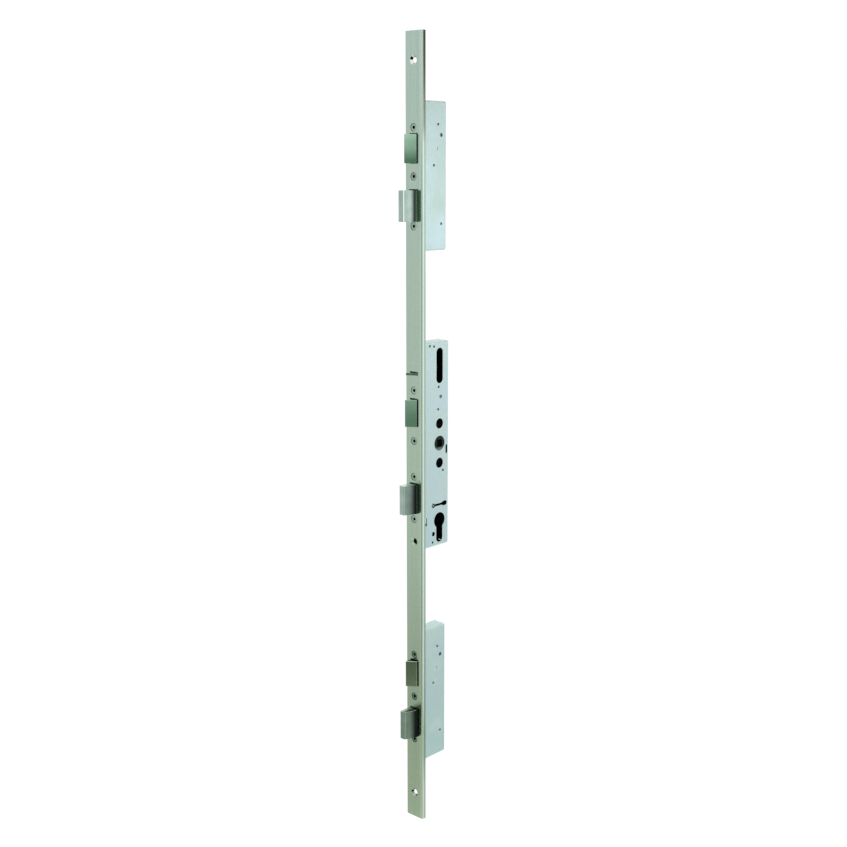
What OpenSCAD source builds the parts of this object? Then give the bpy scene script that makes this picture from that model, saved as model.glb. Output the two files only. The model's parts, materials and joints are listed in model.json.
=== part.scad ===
// Multipoint door lock: a channel faceplate that carries a main lock case and two
// auxiliary cases, with one drive rail that draws all three bolts.
// The origin is on the handle spindle axis, in the middle of the cases' thickness.
// +X is the outer side of the case trays, +Y runs into the door and +Z is up.

/* [Faceplate] */
// Width of the faceplate
plate_w = 24; // [22:0.5:28]
// Length of the faceplate
plate_l = 846; // [830:1:1100]
// Depth of the faceplate channel over its flanges
plate_depth = 5; // [4:0.1:8]
// Thickness of the faceplate web
plate_t = 2.4; // [2:0.1:3.5]
// Thickness of the faceplate flanges
flange_t = 2; // [1:0.1:2.2]
// Radius of the long front edges
edge_r = 2; // [0.5:0.1:2.3]
// Distance from each end of the faceplate to its fixing hole
fixing_end = 28.5; // [15:0.5:40]
// Diameter of the end fixing holes
fixing_d = 5.3; // [4:0.1:6.5]
// Diameter of the countersinks of the end fixing holes
fixing_csk = 9; // [8:0.1:11]

/* [Cases] */
// Outside thickness of the cases
case_t = 15; // [14.5:0.1:17]
// Sheet thickness of the trays and covers
sheet_t = 1.25; // [0.8:0.05:1.5]
// Inside radius of the sheet bends
bend_in = 0.35; // [0.2:0.05:1]
// Height of the main case
main_h = 223; // [223:1:250]
// Distance from the spindle axis down to the middle of the main case
main_drop = 1.8; // [0:0.1:3]
// Depth from the spindle axis to the back of the main case
rear_room = 14.5; // [14.5:0.1:25]
// Height of the auxiliary cases
aux_h = 151; // [140:1:180]
// Depth of the auxiliary cases behind the faceplate front
aux_back = 42; // [41:0.5:60]
// Distance from the spindle axis to the middle of each auxiliary case
aux_pitch = 280.5; // [270:0.5:290]
// Thickness of the front plates that the case screws hold
front_t = 4.2; // [3.6:0.1:4.8]

/* [Handle and cylinder] */
// Backset from the faceplate front to the spindle axis
backset = 32; // [31.5:0.5:45]
// Distance from the spindle axis down to the cylinder axis
cyl_pitch = 85; // [85:0.5:92]
// Diameter of the round part of the profile cylinder hole
cyl_d = 17; // [16:0.1:17.5]
// Height of the profile cylinder hole
cyl_h = 33; // [30:0.5:33]
// Width of the web of the profile cylinder hole
cyl_web = 10; // [9:0.1:11]
// Distance between the two handle fixing holes
handle_pitch = 43; // [42:0.5:44]
// Bore of the handle fixing sleeves
handle_bore = 11; // [7:0.1:11.5]
// Wall of the handle fixing sleeves
sleeve_wall = 1.5; // [1:0.1:1.7]
// Diameter of the follower bosses
boss_d = 16; // [13:0.5:17]
// Width across the square spindle hole
spindle_sq = 8; // [7:0.1:9]
// Turn of the follower
turn = 40; // [35:1:45]

/* [Bolts] */
// Width of a bolt
bolt_w = 12; // [10:0.1:12]
// Height of a bolt
bolt_h = 31.5; // [28:0.5:32]
// Length of a bolt outside the faceplate
bolt_out = 16.5; // [16.2:0.1:22]
// Travel of the bolts and of the drive rail
bolt_travel = 16; // [14:0.5:16]
// Width of the flat nose of a bolt
nose_flat = 6.6; // [4:0.1:8]
// Radius between the nose and the bevel
nose_r = 1.2; // [0.5:0.1:4]
// Length of the straight side of a bolt outside the faceplate
bolt_side = 2.9; // [1:0.1:6]
// Height of the middle of the main bolt
main_bolt_z = -56; // [-58:0.5:-56]
// Height of the middle of an auxiliary bolt in its case
aux_bolt_z = -29.5; // [-29.5:0.5:-28]

/* [Latches] */
// Width of a latch
latch_w = 10.6; // [8:0.1:11]
// Height of a latch
latch_h = 29; // [26:0.5:30]
// Length of a latch outside the faceplate at its nose
latch_out = 8.7; // [8.6:0.1:12]
// Length of a latch outside the faceplate at the end of its bevel
latch_low = 1.5; // [1:0.1:4]
// Travel of a latch
latch_travel = 8.5; // [6:0.1:8.5]
// Height of the middle of the main latch
main_latch_z = 36.5; // [35.5:0.5:38]
// Height of the middle of an auxiliary latch in its case
aux_latch_z = 27.5; // [27:0.5:29]

/* [Trigger] */
// Width of the trigger tongue
trigger_w = 10.8; // [8:0.1:11.4]
// Thickness of the trigger tongue
trigger_t = 2.6; // [1.5:0.1:3]
// Length of the trigger outside the faceplate at its nose
trigger_out = 6.8; // [6.6:0.1:9]
// Travel of the trigger
trigger_travel = 6.5; // [4:0.1:6.5]
// Height of the trigger tongue
trigger_z = 78; // [77:0.5:79]

/* [Drive] */
// Width of the drive rail
rail_w = 19; // [17:0.1:19.6]
// Thickness of the drive rail
rail_t = 2.4; // [1.8:0.1:3]
// Width of the windows of the drive rail
window_w = 12.8; // [12.7:0.1:14]
// Diameter of the cross pins that draw the bolts
pin_d = 3; // [2.5:0.1:3.4]
// Radius of the nose of the follower arm
arm_nose = 2.9; // [2.4:0.1:3]

/* [Fasteners] */
// Thread diameter of the case screws
screw_d = 4; // [3:0.1:4.4]
// Head diameter of the case screws
screw_head = 7.4; // [7:0.1:8]
// Depth of the screw heads below the faceplate front
screw_sink = 0.4; // [0.2:0.05:0.5]
// Length of the case screws
screw_l = 12; // [11:0.5:13]
// Width across the corners of the screw sockets
socket_d = 3.4; // [2.5:0.1:3.8]
// Depth of the screw sockets
socket_h = 1.6; // [1:0.1:2]
// Diameter of the case rivets
rivet_d = 2; // [1.6:0.1:2.6]
// Diameter of the rivets that hold the spring seats
seat_rivet_d = 3.2; // [2.6:0.1:4]
// Height of the rivet heads
rivet_head = 0.3; // [0.2:0.1:0.6]
// Width of the rivet heads beyond the shank, all round
rivet_rim = 0.4; // [0.3:0.1:0.8]

/* [Clearances] */
// Gap between sliding faces that run on each other
run_gap = 0.1; // [0.08:0.01:0.12]
// Gap round moving pieces that pass an opening
slide_gap = 0.3; // [0.25:0.01:0.35]
// Radial gap of pins, screws and rivets in their holes
fit = 0.05; // [0.03:0.01:0.08]
// Room in the faceplate above the bolts, the latches and the trigger
top_gap = 1; // [0.3:0.1:1.5]
// Room in the faceplate beside the bevel of a bolt
bevel_gap = 0.4; // [0.3:0.1:3]

/* [Hidden] */
$fn = 48;
eps = 0.01;

steel = [0.66, 0.71, 0.68];
zinc = [0.79, 0.82, 0.83];
bolt_steel = [0.55, 0.61, 0.57];
dark_steel = [0.36, 0.38, 0.38];
spring_steel = [0.45, 0.46, 0.48];

// Depths are measured from the faceplate front, and at_face() puts that plane at -backset
inner = case_t / 2 - sheet_t;
bend_r = sheet_t + bend_in;
fold_run = bend_r + 1;
rail_d = plate_t + run_gap;
rail_back = rail_d + rail_t;
case_d = rail_back + run_gap;
front_back = case_d + front_t;
main_back = backset + rear_room;
main_half = main_h / 2;
aux_half = aux_h / 2;
bolt_half = bolt_h / 2;
latch_half = latch_h / 2;
screw_hole = screw_d + 2 * fit;
screw_recess = screw_head + 2 * screw_sink + 2 * fit;

// Heights of the case screws
main_screw_z = [60.3, 6.2, -32.5, -79];
aux_screw_z = [48.5, 0, -50];
// The cylinder's own screw enters this far below the cylinder axis
cyl_screw_drop = 19;
cyl_screw_z = -cyl_pitch - cyl_screw_drop;
cyl_screw_d = 5.2;

// The drive plane lies on the cover side, beside the screws and the bolt tails
boss_wall = 0.8;
spacer_r = screw_d / 2 + boss_wall;
drive_x1 = -(spacer_r + 2 * slide_gap);
drive_x0 = -inner + slide_gap;
tail_x0 = drive_x1 + slide_gap;
notch_x1 = drive_x1 + slide_gap;

// Bolt tail and its 45 degree slot
tail_d = 21.5;
main_tail_d = 27;
head_back = 0.3;
slot_end_wall = 2.2;
pin_wall = 0.3;
pin_short = 1.75;
arm_gap = 0.5;
arm_h = 6.5;
pin_depth = head_back + bolt_travel + slot_end_wall;
pin_low = -bolt_travel / 2;
strip_half = pin_d / 2 + pin_wall;
arm_low = bolt_half + arm_gap;
arm_high = arm_low + arm_h;
corner_cut = 0.5;
cam_notch_d = 12;
cam_notch_l = 11.5;
cam_notch_h = 2.1;

// Follower arm, its lug on the rail and the return plunger
arm_r = bolt_travel / (2 * sin(turn / 2));
arm_tip_d = backset - arm_r * cos(turn / 2);
lug_wall = 2.4;
lug_over = 2.6;
lug_play = 0.2;
lug_half = arm_nose + slide_gap + lug_wall;
lug_back = arm_tip_d + lug_over;
lug_z = -bolt_travel / 2;
hub_collar = 1;
hub_r = boss_d / 2 + hub_collar;
lobe_r = 10.3;
lobe_nose = 2;
lobe_neck = 1.4;
plunger_travel = 2 * lobe_r * sin(turn / 2);
plunger_off = 9.3;
plunger_touch = 0.15;
plunger_d0 = backset + plunger_off;
plunger_d1 = main_back - sheet_t - slide_gap;
plunger_dm = (plunger_d0 + plunger_d1) / 2;
plunger_top = lobe_r * sin(turn / 2) - lobe_nose - plunger_touch;
plunger_h = 11.4;
plunger_half = 4;
plunger_pin_z = -4.4;
plunger_pin_r = 1.2;
return_seat_z = [-34, -28];
return_seat_off = 3.6;
return_rivet = [backset + 5.6, -30.4];

// Latch guide: the rod sits above the middle of the latch, on a riveted seat
latch_tail_d = 15;
rod_r = 1.5;
rod_up = 7;
rod_tip_d = 10.5;
latch_seat_t = 6;
latch_rivet_d = 33.8;
latch_seat_d = latch_rivet_d - latch_seat_t / 2;
latch_rivet_up = 14;
latch_seat_rim = 3.5;
latch_rod_rim = 4;
rod_room = 0.5;
shoulder = 2;
shoulder_t = 2.6;

// Trigger guide: the rod lies below the tongue and ends short of the long slot
trigger_tail_d = 15;
trigger_rod_r = 1;
trigger_rod_down = 6;
trigger_block_h = 11.5;
trigger_low = 0.5;
trigger_rod_tip_d = 10;
trigger_spring_solid = 3.5;
trigger_seat_d = trigger_tail_d + trigger_travel + trigger_spring_solid;
trigger_seat_t = 1.7;
trigger_seat_half = 5;

// Mean and wire radii of the springs
return_coil_r = 1.4;
return_wire_r = 0.35;
latch_coil_r = 2.4;
latch_wire_r = 0.4;
trigger_coil_r = 1.7;
trigger_wire_r = 0.25;

// Openings in the sides of the main case
long_slot_w = 10;
long_slot_h = 38;
long_slot_z = 84;
guide_pin_d = 2.2;
guide_drop = 11.5;
guide_slot_z = main_bolt_z - guide_drop;
guide_slot_d = 22.4;
guide_slot_w = guide_pin_d + 4 * fit;
guide_end_w = 5;
guide_end_l = 3;
front_notch_h = 9;
front_notch_l = 7;
front_notch_z = 1.5 - cyl_pitch;
// Small holes beside the cylinder hole, as depth, height and diameter
small_holes = [[backset - 9.7, cyl_screw_z + 5, 5], [backset - 10.7, cyl_screw_z - 4.2, 2.5]];
// Shallow upright mark pressed into the outer side of an auxiliary case
mark_d = 28;
mark_w = 1.2;
mark_h = 3.5;
mark_deep = 0.3;

// Rivets as pairs of depth and height
main_rivets = [[16.8, 106], [23.1, 105], [backset - 1.4, 61.2], [backset - 2.1, 37.1]];
aux_rivets = [[29, 52], [22.6, 11]];
aux_guide_rivet = [33.8, -48.2];

// Drive rail: the lengths hook together at rail_join, and run on past the last windows
rail_join = 160;
rail_run_on = 21;
hook_w = 10;
hook_neck = 5;
hook_h = 6;
window_room = 5;
main_window = [cyl_screw_z - window_room - bolt_travel, trigger_z + window_room];
aux_window = [aux_screw_z[2] - window_room - bolt_travel, aux_screw_z[0] + window_room];
rail_end = aux_pitch - aux_window[0] + rail_run_on;

module at_face() {
  translate([0, -backset, 0]) children();
}

module at_units() {
  for (s = [1, -1]) translate([0, 0, s * aux_pitch]) children();
}

// Round cutter along Y, from depth d0 over length l
module y_rod(z, d0, l, r, x = 0) {
  translate([x, d0, z]) rotate([-90, 0, 0]) cylinder(h = l, r = r);
}

// Round cutter along X, right through a case
module x_bore(d, z, dia) {
  translate([-case_t, d, z]) rotate([0, 90, 0]) cylinder(h = 2 * case_t, d = dia);
}

// Upright slot with round ends, right through a case
module x_slot(d, z, w, h) {
  for (s = [-1, 1]) x_bore(d, z + s * (h - w) / 2, w);
  translate([-case_t, d - w / 2, z - (h - w) / 2]) cube([2 * case_t, w, h - w]);
}

// Level slot with round ends, right through a case
module x_level_slot(d0, d1, z, w) {
  for (d = [d0, d1]) x_bore(d, z, w);
  translate([-case_t, d0, z - w / 2]) cube([2 * case_t, d1 - d0, w]);
}

// Rectangular opening through a front wall that is t thick
module wall_opening(x0, x1, z0, z1, d0, t) {
  translate([x0, d0 - eps, z0]) cube([x1 - x0, t + 2 * eps, z1 - z0]);
}

module countersunk_hole(z, dia, head) {
  y_rod(z, -eps, plate_t + 2 * eps, dia / 2);
  translate([0, -eps, z]) rotate([-90, 0, 0])
    cylinder(h = (head - dia) / 2, d1 = head, d2 = dia);
}

// One wire coil along +Z, swept as six-sided rings
module coil(length, mean_r, wire_r, turns) {
  sides = 6;
  steps = 8;
  count = turns * steps;
  rise = (length - 2 * wire_r) / count;
  points = [
    for (i = [0:count], k = [0:sides - 1])
      let (a = 360 * i / steps, b = 360 * k / sides, r = mean_r + wire_r * cos(b))
        [r * cos(a), r * sin(a), wire_r + rise * i + wire_r * sin(b)]
  ];
  side_faces = [
    for (i = [0:count - 1], k = [0:sides - 1])
      let (p = i * sides + k, q = i * sides + (k + 1) % sides)
        each [[p, q, q + sides], [p, q + sides, p + sides]]
  ];
  first_cap = [for (k = [1:sides - 2]) [0, k + 1, k]];
  last = count * sides;
  last_cap = [for (k = [1:sides - 2]) [last, last + k, last + k + 1]];
  polyhedron(points, concat(side_faces, first_cap, last_cap));
}

function arc(cx, cy, r, a0, a1, n) =
  [for (i = [0:n]) let (a = a0 + (a1 - a0) * i / n) [cx + r * cos(a), cy + r * sin(a)]];

// Faceplate

module channel_profile() {
  difference() {
    union() {
      translate([-plate_w / 2, edge_r]) square([plate_w, plate_depth - edge_r]);
      translate([-plate_w / 2 + edge_r, 0]) square([plate_w - 2 * edge_r, edge_r + eps]);
      for (s = [-1, 1]) translate([s * (plate_w / 2 - edge_r), edge_r]) circle(edge_r);
    }
    translate([-plate_w / 2 + flange_t, plate_t]) square([plate_w - 2 * flange_t, plate_depth]);
  }
}

// Opening round a sliding piece that is centred on X = 0, with its own room above
module slide_opening(w, x1, z, half, d0, t, above) {
  wall_opening(-w / 2 - slide_gap, x1, z - half - slide_gap, z + half + above, d0, t);
}

module plate_openings(latch_z, bolt_z) {
  slide_opening(latch_w, latch_w / 2 + slide_gap, latch_z, latch_half, 0, plate_t, top_gap);
  slide_opening(bolt_w, bolt_w / 2 + bevel_gap, bolt_z, bolt_half, 0, plate_t, top_gap);
}

module faceplate() {
  color(steel) at_face() difference() {
    translate([0, 0, -plate_l / 2]) linear_extrude(plate_l) channel_profile();
    for (s = [-1, 1]) countersunk_hole(s * (plate_l / 2 - fixing_end), fixing_d, fixing_csk);
    for (z = main_screw_z) countersunk_hole(z, screw_hole, screw_recess);
    countersunk_hole(cyl_screw_z, cyl_screw_d, fixing_csk);
    plate_openings(main_latch_z, main_bolt_z);
    slide_opening(trigger_w, trigger_w / 2 + slide_gap, trigger_z, trigger_t / 2, 0, plate_t, top_gap);
    at_units() {
      for (z = aux_screw_z) countersunk_hole(z, screw_hole, screw_recess);
      plate_openings(aux_latch_z, aux_bolt_z);
    }
  }
}

// Case shells

// Section of a folded edge: the outer corner is at [case_t / 2, 0] and the flange runs to -X
module fold_profile() {
  translate([-inner, -sheet_t]) square([inner + case_t / 2 - bend_r, sheet_t]);
  translate([inner, -fold_run]) square([sheet_t, fold_run - bend_r]);
  translate([case_t / 2 - bend_r, -bend_r]) intersection() {
    difference() {
      circle(bend_r);
      circle(bend_in);
    }
    square(bend_r);
  }
}

// Folded tray: side sheet with a flange at the top, the bottom and the back
module case_tray(half, back) {
  translate([inner, case_d, -half + fold_run - eps])
    cube([sheet_t, back - fold_run - case_d + eps, 2 * (half - fold_run + eps)]);
  for (s = [0, 1]) mirror([0, 0, s])
    translate([0, back - bend_r, half]) rotate([90, 0, 0])
      linear_extrude(back - bend_r - case_d) fold_profile();
  translate([0, back, -half + bend_r]) linear_extrude(2 * (half - bend_r)) fold_profile();
}

module case_cover(half, back) {
  translate([-case_t / 2, front_back, -half]) cube([sheet_t, back - front_back, 2 * half]);
}

module rivet_holes(places, dia) {
  for (p = places) x_bore(p[0], p[1], dia + 2 * fit);
}

module rivets(places, dia) {
  half = case_t / 2;
  for (p = places) translate([0, p[0], p[1]]) rotate([0, 90, 0]) {
    translate([0, 0, -half]) cylinder(h = case_t, d = dia);
    for (s = [0, 1]) mirror([0, 0, s]) translate([0, 0, half])
      cylinder(h = rivet_head, d = dia + 2 * rivet_rim);
  }
}

// Openings that go through both sides of the main case
module main_through_cuts() {
  x_bore(backset, 0, boss_d + 2 * fit);
  for (s = [-1, 1]) x_bore(backset, s * handle_pitch / 2, handle_bore);
  x_slot(backset, long_slot_z, long_slot_w, long_slot_h);
  x_bore(backset, -cyl_pitch, cyl_d);
  web_z = -cyl_pitch + cyl_d / 2 - cyl_h + cyl_web / 2;
  x_bore(backset, web_z, cyl_web);
  translate([-case_t, backset - cyl_web / 2, web_z])
    cube([2 * case_t, cyl_web, -cyl_pitch - web_z]);
  rivet_holes(main_rivets, rivet_d);
  rivet_holes([latch_rivet(main_latch_z)], seat_rivet_d);
  rivet_holes([return_rivet], rivet_d);
}

function latch_rivet(latch_z) = [latch_rivet_d, latch_z + latch_rivet_up];

// Bolt guide slot with two wide ends, plunger slot, small holes and front edge notch
module main_tray_cuts() {
  slot_end = guide_slot_d + bolt_travel;
  x_level_slot(guide_slot_d, slot_end, guide_slot_z, guide_slot_w);
  x_bore(guide_slot_d, guide_slot_z, guide_end_w);
  x_level_slot(slot_end, slot_end + guide_end_l, guide_slot_z, guide_end_w);
  x_slot(plunger_dm, plunger_pin_z - plunger_travel / 2, 2 * plunger_pin_r + slide_gap,
    plunger_travel + 2 * plunger_pin_r + slide_gap);
  for (h = small_holes) x_bore(h[0], h[1], h[2]);
  translate([inner - eps, case_d - eps, front_notch_z - front_notch_h / 2])
    cube([2 * sheet_t, front_notch_l, front_notch_h]);
}

module at_main_case() {
  translate([0, 0, -main_drop]) children();
}

module main_case_tray() {
  color(zinc) at_face() difference() {
    at_main_case() case_tray(main_half, main_back);
    main_through_cuts();
    main_tray_cuts();
  }
}

module main_case_cover() {
  color(zinc) at_face() difference() {
    at_main_case() case_cover(main_half, main_back);
    main_through_cuts();
  }
}

module main_case_rivets() {
  color(steel) at_face() {
    rivets(main_rivets, rivet_d);
    rivets([latch_rivet(main_latch_z)], seat_rivet_d);
    rivets([return_rivet], rivet_d);
  }
}

module aux_through_cuts() {
  rivet_holes(aux_rivets, rivet_d);
  rivet_holes([latch_rivet(aux_latch_z)], seat_rivet_d);
  rivet_holes([aux_guide_rivet], rivet_d);
}

module aux_case_tray() {
  color(zinc) at_face() difference() {
    case_tray(aux_half, aux_back);
    aux_through_cuts();
    translate([case_t * 3 / 2 - mark_deep, 0, 0]) x_slot(mark_d, aux_latch_z, mark_w, mark_h);
  }
}

module aux_case_cover() {
  color(zinc) at_face() difference() {
    case_cover(aux_half, aux_back);
    aux_through_cuts();
  }
}

module aux_case_rivets() {
  color(steel) at_face() {
    rivets(aux_rivets, rivet_d);
    rivets([latch_rivet(aux_latch_z)], seat_rivet_d);
    rivets([aux_guide_rivet], rivet_d);
  }
}

// Front plates and their screws

// Comb-shaped plate: one rib on the cover side joins the blocks between the openings
module front_plate(middle, half, screws, latch_z, bolt_z) {
  reach = half - bend_r;
  difference() {
    union() {
      translate([-case_t / 2, case_d, middle - reach]) cube([case_t / 2 + inner, front_t, 2 * reach]);
      for (z = screws) y_rod(z, plate_t, case_d - plate_t + eps, spacer_r);
    }
    for (z = screws) y_rod(z, plate_t - eps, front_back, screw_hole / 2);
    slide_opening(latch_w, case_t, latch_z, latch_half, case_d, front_t, slide_gap);
    slide_opening(bolt_w, case_t, bolt_z, bolt_half, case_d, front_t, slide_gap);
    wall_opening(-inner, notch_x1, bolt_z + arm_low - slide_gap,
      bolt_z + arm_high + bolt_travel + slide_gap, case_d, front_t);
  }
}

module main_front_plate() {
  color(dark_steel) at_face() difference() {
    front_plate(-main_drop, main_half, main_screw_z, main_latch_z, main_bolt_z);
    slide_opening(trigger_w, case_t, trigger_z, trigger_t / 2, case_d, front_t, slide_gap);
    wall_opening(-inner, notch_x1, lug_z - lug_half - slide_gap,
      lug_z + bolt_travel + lug_half + slide_gap, case_d, front_t);
    y_rod(cyl_screw_z, case_d - eps, front_t + 2 * eps, cyl_screw_d / 2);
  }
}

module aux_front_plate() {
  color(dark_steel) at_face() front_plate(0, aux_half, aux_screw_z, aux_latch_z, aux_bolt_z);
}

// Countersunk screws with a hexagon socket
module case_screws(places) {
  for (z = places) translate([0, screw_sink, z]) rotate([-90, 0, 0]) difference() {
    union() {
      cylinder(h = (screw_head - screw_d) / 2, d1 = screw_head, d2 = screw_d);
      cylinder(h = screw_l, d = screw_d);
    }
    translate([0, 0, -eps]) cylinder(h = socket_h, d = socket_d, $fn = 6);
  }
}

module main_case_screws() {
  color(steel) at_face() case_screws(main_screw_z);
}

module aux_case_screws() {
  color(steel) at_face() case_screws(aux_screw_z);
}

// Handle follower and its return

module handle_sleeves() {
  color(dark_steel) for (s = [-1, 1]) translate([-inner, 0, s * handle_pitch / 2])
    rotate([0, 90, 0]) difference() {
      cylinder(h = 2 * inner, d = handle_bore + 2 * sleeve_wall);
      translate([0, 0, -eps]) cylinder(h = 2 * inner + 2 * eps, d = handle_bore);
    }
}

// Hub with a square hole, a long arm that drives the rail and a short lobe on the plunger
module follower() {
  neck_half = 1.6;
  neck_l = 4;
  neck_taper = 0.2;
  root_half = 5;
  root_y = -hub_r + hub_collar;
  drive_t = drive_x1 - drive_x0;
  run = inner - slide_gap;
  hub_half = run - slide_gap;
  color(dark_steel) difference() {
    union() {
      translate([-case_t / 2, 0, 0]) rotate([0, 90, 0]) cylinder(h = case_t, d = boss_d);
      translate([-hub_half, 0, 0]) rotate([0, 90, 0]) cylinder(h = 2 * hub_half, r = hub_r);
      rotate([turn / 2, 0, 0]) {
        translate([drive_x0, -arm_r, 0]) rotate([0, 90, 0]) cylinder(h = drive_t, r = arm_nose);
        translate([drive_x0, 0, 0]) rotate([90, 0, 90]) linear_extrude(drive_t) polygon([
          [-arm_r, -neck_half], [-arm_r + neck_l, -neck_half - neck_taper], [root_y, -root_half],
          [root_y, root_half], [-arm_r + neck_l, neck_half + neck_taper], [-arm_r, neck_half]
        ]);
        translate([drive_x1, lobe_r, 0]) rotate([0, 90, 0])
          cylinder(h = run - drive_x1, r = lobe_nose);
        translate([drive_x1, 0, -lobe_neck]) cube([run - drive_x1, lobe_r, 2 * lobe_neck]);
      }
    }
    cube([2 * case_t, spindle_sq + 2 * fit, spindle_sq + 2 * fit], center = true);
  }
}

module return_plunger() {
  color(bolt_steel) at_face() {
    translate([-plunger_half, plunger_d0, plunger_top - plunger_h])
      cube([2 * plunger_half, plunger_d1 - plunger_d0, plunger_h]);
    translate([0, plunger_dm, plunger_pin_z]) rotate([0, 90, 0])
      cylinder(h = case_t / 2, r = plunger_pin_r);
  }
}

module return_spring() {
  spring_top = plunger_top - plunger_h - run_gap;
  spring_foot = return_seat_z[1] + run_gap;
  color(spring_steel) at_face() translate([0, plunger_dm, spring_foot])
    coil(spring_top - spring_foot, return_coil_r, return_wire_r, 9);
}

module return_spring_seat() {
  seat_d = backset + return_seat_off;
  color(steel) at_face() difference() {
    translate([-inner, seat_d, return_seat_z[0]])
      cube([2 * inner, main_back - bend_r - seat_d, return_seat_z[1] - return_seat_z[0]]);
    rivet_holes([return_rivet], rivet_d);
  }
}

// Drive rail, its lug and its fingers

// Head and neck of the hook at an end of the middle rail, pointing up from z = 0
module hook_outline(gap) {
  translate([-hook_neck / 2 - gap, -eps]) square([hook_neck + 2 * gap, hook_h + 2 * eps]);
  translate([-hook_w / 2 - gap, hook_h - gap]) square([hook_w + 2 * gap, hook_h + 2 * gap]);
}

// Flat bar in the plane of X and Z, from z0 to z1
module rail_bar(z0, z1) {
  translate([-rail_w / 2, z0]) square([rail_w, z1 - z0]);
}

module rail_window(window) {
  translate([-window_w / 2, window[0]]) square([window_w, window[1] - window[0]]);
}

// Gives a flat outline in X and Z the rail's thickness and place
module as_rail() {
  color(dark_steel) at_face() translate([0, rail_back, 0]) rotate([90, 0, 0])
    linear_extrude(rail_t) children();
}

module main_rail() {
  as_rail() difference() {
    union() {
      rail_bar(-rail_join, rail_join);
      for (s = [0, 1]) mirror([0, s]) translate([0, rail_join]) hook_outline(0);
    }
    rail_window(main_window);
  }
}

module aux_rail(side) {
  as_rail() difference() {
    mirror([0, side < 0 ? 1 : 0]) rail_bar(rail_join + run_gap, rail_end);
    translate([0, side * aux_pitch]) rail_window(aux_window);
    mirror([0, side < 0 ? 1 : 0]) translate([0, rail_join]) hook_outline(run_gap);
  }
}

// Foot that joins a piece in the drive plane to the rail's strip on the cover side
module drive_foot(z0, z1) {
  translate([-window_w / 2, rail_d, z0]) cube([drive_x1 + window_w / 2, rail_t, z1 - z0]);
}

// Plate in the drive plane from a flat outline in depth and height
module drive_plate() {
  translate([drive_x0, 0, 0]) rotate([90, 0, 90]) linear_extrude(drive_x1 - drive_x0) children();
}

module drive_lug() {
  notch_half = arm_nose + lug_play;
  notch_d = backset - arm_r - arm_nose - slide_gap;
  color(dark_steel) at_face() translate([0, 0, lug_z]) {
    drive_plate() difference() {
      translate([rail_d, -lug_half]) square([lug_back - rail_d, 2 * lug_half]);
      translate([notch_d, -notch_half]) square([lug_back - notch_d + eps, 2 * notch_half]);
    }
    drive_foot(-lug_half, lug_half);
  }
}

// Angle with a cross pin that runs in the sloping slot of a bolt
module drive_finger(bolt_z) {
  color(dark_steel) at_face() translate([0, 0, bolt_z]) {
    drive_plate() {
      translate([rail_d, arm_low]) square([pin_depth + strip_half - rail_d, arm_high - arm_low]);
      translate([pin_depth - strip_half, pin_low - strip_half])
        square([2 * strip_half, arm_high - pin_low + strip_half]);
    }
    translate([drive_x0, pin_depth, pin_low]) rotate([0, 90, 0])
      cylinder(h = bolt_w / 2 - pin_short - drive_x0, d = pin_d);
    drive_foot(arm_low, arm_high);
  }
}

module main_drive_finger() {
  drive_finger(main_bolt_z);
}

module aux_drive_finger() {
  drive_finger(aux_bolt_z);
}

// Bolts

// Section of a bolt head in X and depth: flat nose, rounded corner and steep bevel
module bolt_section() {
  half = bolt_w / 2;
  corner_x = -half + nose_flat;
  slope = atan2(bolt_out - bolt_side, half - corner_x);
  run = nose_r * tan(slope / 2);
  polygon(concat(
    [[-half, head_back], [-half, -bolt_out + corner_cut], [-half + corner_cut, -bolt_out]],
    arc(corner_x - run, -bolt_out + nose_r, nose_r, -90, slope - 90, 8),
    [[half, -bolt_side], [half, head_back]]
  ));
}

// Head outside, narrower tail inside, and the sloping slot for the cross pin
module bolt(bolt_z, back) {
  slot_w = pin_d + 4 * fit;
  translate([0, 0, bolt_z]) difference() {
    union() {
      translate([0, 0, -bolt_half]) linear_extrude(bolt_h) bolt_section();
      translate([tail_x0, head_back - eps, -bolt_half])
        cube([bolt_w / 2 - tail_x0, back - head_back + eps, bolt_h]);
    }
    for (t = [0, bolt_travel]) translate([-case_t, pin_depth - t, pin_low + t]) rotate([0, 90, 0])
      cylinder(h = 2 * case_t, d = slot_w);
    translate([0, pin_depth - bolt_travel / 2, pin_low + bolt_travel / 2]) rotate([45, 0, 0])
      cube([2 * case_t, slot_w, bolt_travel * sqrt(2)], center = true);
  }
}

// The main bolt has a notch below its tail for the cylinder's cam
module main_bolt() {
  color(bolt_steel) at_face() difference() {
    bolt(main_bolt_z, main_tail_d);
    translate([-case_t, cam_notch_d, main_bolt_z - bolt_half - eps])
      cube([2 * case_t, cam_notch_l, cam_notch_h + eps]);
    translate([0, guide_slot_d, guide_slot_z]) rotate([0, 90, 0])
      cylinder(h = case_t, d = guide_pin_d + 2 * fit);
  }
}

// Guide pin of the main bolt, whose end shows in the slot of the tray
module main_bolt_pin() {
  color(steel) at_face() translate([run_gap, guide_slot_d, guide_slot_z]) rotate([0, 90, 0])
    cylinder(h = case_t / 2 - run_gap, d = guide_pin_d);
}

module aux_bolt() {
  color(bolt_steel) at_face() bolt(aux_bolt_z, tail_d);
}

// Block below the tail that an auxiliary bolt slides on
module aux_bolt_guide() {
  top = aux_bolt_z - bolt_half - slide_gap;
  guide_d = 14;
  guide_h = 4;
  color(steel) at_face() difference() {
    translate([-inner, guide_d, top - guide_h])
      cube([2 * inner, aux_back - bend_r - guide_d, guide_h]);
    rivet_holes([aux_guide_rivet], rivet_d);
  }
}

// Latches

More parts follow.
